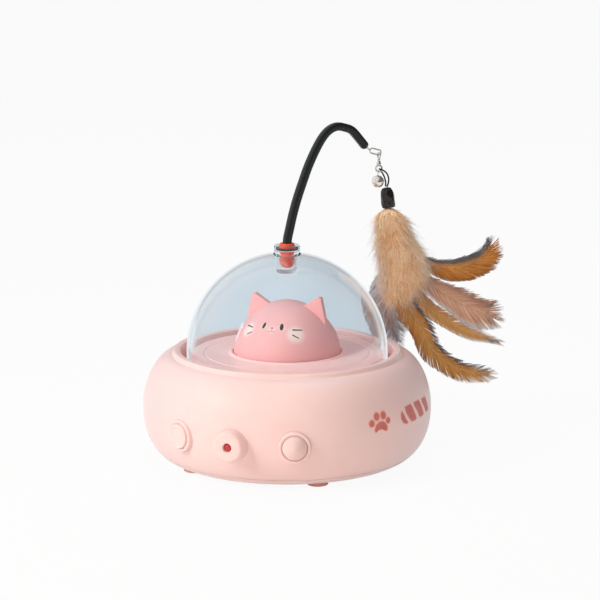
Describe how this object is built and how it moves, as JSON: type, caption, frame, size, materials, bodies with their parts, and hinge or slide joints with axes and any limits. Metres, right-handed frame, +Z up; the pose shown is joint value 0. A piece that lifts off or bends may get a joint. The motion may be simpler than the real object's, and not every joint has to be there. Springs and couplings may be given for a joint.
{
  "type": "cat teaser toy",
  "caption": "Cat teaser toy: round weighted base with a motor-driven turntable, a clear dome over a fixed cat head, and a springy wand that carries a bell and a bunch of feathers.",
  "frame": {"origin": "centre of the bottom cover's flat underside, on the turntable's axis; the feet stand 1.5 mm below it", "axes": "+Z up along the turntable's axis; -Y is the front, where the cat's face and the controls look"},
  "size_m": [0.1867, 0.1807, 0.1923],
  "materials": {
    "shell_plastic": "pale pink, semi-gloss moulded",
    "foot_rubber": "matt pink rubber",
    "plated_steel": "bright plated",
    "white_plastic": "satin moulded",
    "head_plastic": "rose pink, soft semi-gloss",
    "disc_plastic": "pinkish beige, semi-gloss",
    "clear_plastic": "clear polished plastic with a faint blue tint",
    "black_rubber": "matt black",
    "gear_plastic": "natural nylon",
    "black_plastic": "satin black",
    "circuit_board": "green board",
    "red_lens": "deep red, polished",
    "milky_lens": "milky pink, satin",
    "cell_wrap": "shrink-wrapped",
    "lead_sleeve": "soft insulation",
    "orange_plug": "orange-red, satin",
    "black_rod": "black, faint grey sheen",
    "bell_metal": "bright plated",
    "black_cord": "twisted cord",
    "dark_cap": "near-black, glossy",
    "tan_down": "soft tan and gold down",
    "grey_feather": "grey-mauve vane with pale barbs",
    "gold_feather": "gold-brown vane, grey barbs",
    "amber_feather": "amber vane",
    "russet_feather": "pinkish russet vane, white barbs",
    "brown_feather": "brown-orange vane, grey barbs"
  },
  "bodies": {
    "base": {"upper_shell": "shell_plastic", "bottom_cover": "shell_plastic", "foot_1": "foot_rubber", "foot_2": "foot_rubber", "foot_3": "foot_rubber", "foot_4": "foot_rubber", "housing_screw_1": "plated_steel", "housing_screw_2": "plated_steel", "housing_screw_3": "plated_steel", "housing_screw_4": "plated_steel", "centre_post": "white_plastic", "cat_head": "head_plastic", "hub_bush": "white_plastic", "motor_can": "plated_steel", "gear_plate": "white_plastic", "plate_screw_1": "plated_steel", "plate_screw_2": "plated_steel", "gear_axle": "plated_steel", "power_bezel": "shell_plastic", "power_switch": "black_plastic", "power_board": "circuit_board", "lamp_boss": "shell_plastic", "lamp_lens": "red_lens", "lamp_board": "circuit_board", "sensor_bezel": "shell_plastic", "sensor_lens": "milky_lens", "sensor_can": "plated_steel", "sensor_board": "circuit_board", "main_board": "circuit_board", "charge_socket": "plated_steel", "battery_cell": "cell_wrap", "battery_strap": "white_plastic", "battery_lead": "lead_sleeve", "motor_lead": "lead_sleeve"},
    "turntable": {"turntable_disc": "disc_plastic", "clear_dome": "clear_plastic", "socket_seal": "black_rubber", "hub_gear": "gear_plastic", "hub_clip": "plated_steel"},
    "compound": {"compound_gear": "gear_plastic"},
    "rotor": {"motor_pinion": "gear_plastic", "motor_shaft": "plated_steel"},
    "button": {"power_button": "shell_plastic", "switch_plunger": "white_plastic"},
    "wand": {"wand_plug": "orange_plug", "wand_rod": "black_rod", "wand_eye": "plated_steel"},
    "swivel": {"swivel_eye": "plated_steel"},
    "snap": {"snap_hook": "plated_steel"},
    "bell": {"bell_shell": "bell_metal", "bell_pellet": "plated_steel"},
    "bunch": {"cord_loop": "black_cord", "feather_cap": "dark_cap", "feather_fluff": "tan_down", "feather_grey": "grey_feather", "feather_sickle": "gold_feather", "feather_slender": "amber_feather", "feather_broad": "russet_feather", "feather_curled": "brown_feather"}
  },
  "joints": [
    {"name": "turntable_spin", "type": "hinge", "parent": "base", "child": "turntable", "pos_m": [0, 0, 0.0603], "axis": [0, 0, 1], "continuous": true},
    {"name": "compound_spin", "type": "hinge", "parent": "base", "child": "compound", "pos_m": [0.02512, 0, 0.0369], "axis": [0, 0, 1], "continuous": true},
    {"name": "rotor_spin", "type": "hinge", "parent": "base", "child": "rotor", "pos_m": [0.04399, 0, 0.0369], "axis": [0, 0, 1], "continuous": true},
    {"name": "power_press", "type": "slide", "parent": "base", "child": "button", "axis": [0.4067, 0.9135, 0], "range_m": [0, 0.001], "stiffness_N_per_m": 800},
    {"name": "wand_lift", "type": "slide", "parent": "turntable", "child": "wand", "axis": [0, 0, 1], "range_m": [0, 0.015]},
    {"name": "eye_swing", "type": "hinge", "parent": "wand", "child": "swivel", "pos_m": [0.0377, 0.05095, 0.16991], "axis": [0.5948, 0.8039, 0], "range_deg": [-45, 45]},
    {"name": "snap_turn", "type": "hinge", "parent": "swivel", "child": "snap", "pos_m": [0.0377, 0.05095, 0.16556], "axis": [0, 0, 1], "range_deg": [-25, 18]},
    {"name": "bell_swing", "type": "hinge", "parent": "snap", "child": "bell", "pos_m": [0.03723, 0.05076, 0.16006], "axis": [0.9304, 0.3665, 0], "range_deg": [-35, 35]},
    {"name": "bunch_swing", "type": "hinge", "parent": "snap", "child": "bunch", "pos_m": [0.03821, 0.05115, 0.16167], "axis": [0.3665, -0.9304, 0], "range_deg": [0, 40]}
  ],
  "couplings": [
    {"joint": "compound_spin", "follows": "turntable_spin", "ratio": -4},
    {"joint": "rotor_spin", "follows": "turntable_spin", "ratio": 16}
  ]
}
